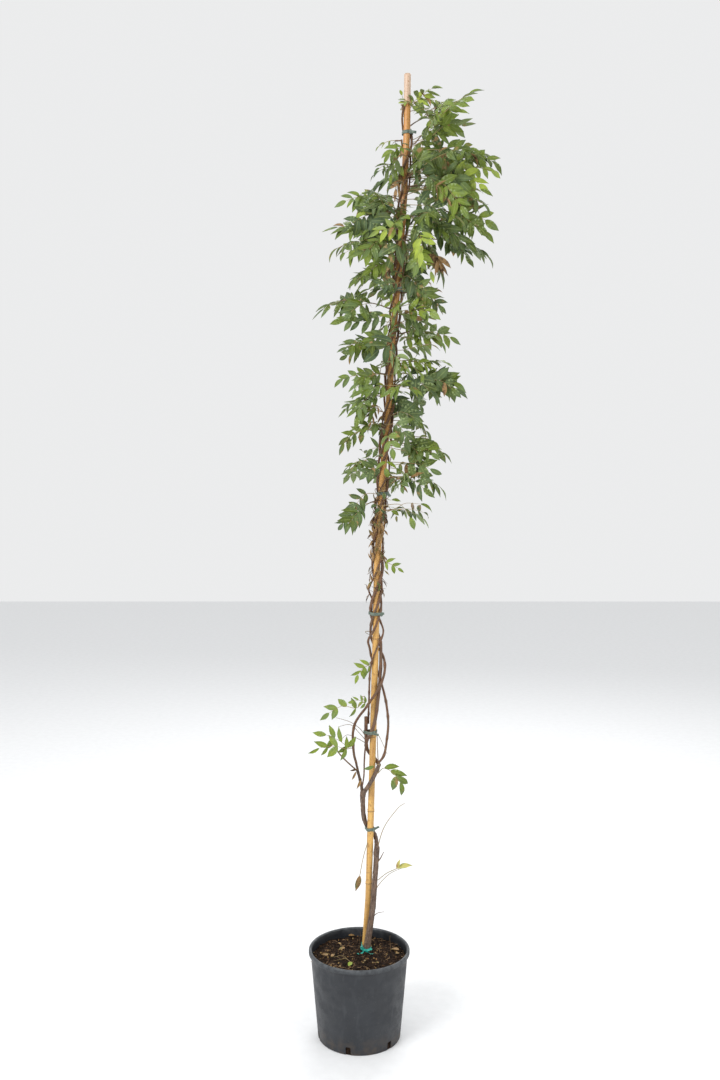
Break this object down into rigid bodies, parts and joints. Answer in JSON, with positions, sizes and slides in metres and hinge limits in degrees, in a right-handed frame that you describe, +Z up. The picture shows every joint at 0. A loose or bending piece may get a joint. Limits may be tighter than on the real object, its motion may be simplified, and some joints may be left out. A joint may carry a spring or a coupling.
{
  "type": "potted japanese wisteria",
  "caption": "Young climbing wisteria twined up a tall bamboo cane in a round dark nursery pot, with pinnate leaves in a crown on its upper half.",
  "frame": {"origin": "centre of the pot's underside, on the surface it stands on", "axes": "+Z up along the cane, +X to the viewer's right in the picture, +Y away from the viewer"},
  "size_m": [0.4807, 0.3783, 2.4151],
  "materials": {
    "pot_plastic": "dark slate grey moulded plastic, scuffed",
    "potting_mix": "dark brown potting mix with bark chips, pale prills and dry leaf",
    "bamboo": "golden yellow bamboo skin with darker rings, orange-brown in the middle, pale at the top",
    "old_bark": "grey-brown ridged bark",
    "young_bark": "reddish-brown bark with pale pores",
    "tie_band": "grey-green soft plastic",
    "turquoise_ribbon": "bright turquoise plastic tape",
    "leaf_green": "mid and grey green leaf, paler below, satin",
    "leaf_yellow": "yellowing leaf",
    "leaf_dry": "dry brown leaf"
  },
  "bodies": {
    "root": {"bamboo_cane": "bamboo", "base_ribbon": "turquoise_ribbon", "dried_leaf": "leaf_dry", "leafy_shoot_01": "leaf_green", "leafy_shoot_02": "leaf_green", "leafy_shoot_03": "leaf_green", "leafy_shoot_04": "leaf_green", "leafy_shoot_05": "leaf_green", "leafy_shoot_06": "leaf_green", "leafy_shoot_07": "leaf_green", "leafy_shoot_08": "leaf_green", "leafy_shoot_09": "leaf_green", "leafy_shoot_10": "leaf_green", "leafy_shoot_11": "leaf_green", "leafy_shoot_12": "leaf_green", "leafy_shoot_13": "leaf_green", "leafy_shoot_14": "leaf_green", "leafy_shoot_15": "leaf_green", "leafy_shoot_16": "leaf_green", "leafy_shoot_17": "leaf_green", "leafy_shoot_18": "leaf_green", "leafy_shoot_19": "leaf_green", "leafy_shoot_20": "leaf_green", "leafy_shoot_21": "leaf_green", "leafy_shoot_22": "leaf_green", "leafy_shoot_23": "leaf_green", "leafy_shoot_24": "leaf_green", "leafy_shoot_25": "leaf_green", "leafy_shoot_26": "leaf_green", "leafy_shoot_27": "leaf_green", "leafy_shoot_28": "leaf_green", "leafy_shoot_29": "leaf_green", "leafy_shoot_30": "leaf_green", "leafy_shoot_31": "leaf_green", "leafy_shoot_32": "leaf_green", "leafy_shoot_33": "leaf_green", "leafy_shoot_34": "leaf_green", "leafy_shoot_35": "leaf_green", "leafy_shoot_36": "leaf_green", "leafy_shoot_37": "leaf_green", "leafy_shoot_38": "leaf_green", "left_leader": "young_bark", "lower_left_shoot": "leaf_green", "lower_right_shoot": "leaf_green", "middle_leader": "young_bark", "pot": "pot_plastic", "right_leader": "young_bark", "small_left_shoot": "leaf_green", "soil": "potting_mix", "stub_shoot": "leaf_green", "thin_leader": "young_bark", "tie_1": "tie_band", "tie_2": "tie_band", "tie_3": "tie_band", "tie_4": "tie_band", "tie_5": "tie_band", "tie_6": "tie_band", "trunk": "old_bark", "upper_right_leaf": "leaf_green", "yellow_leaf": "leaf_yellow"}
  },
  "joints": []
}
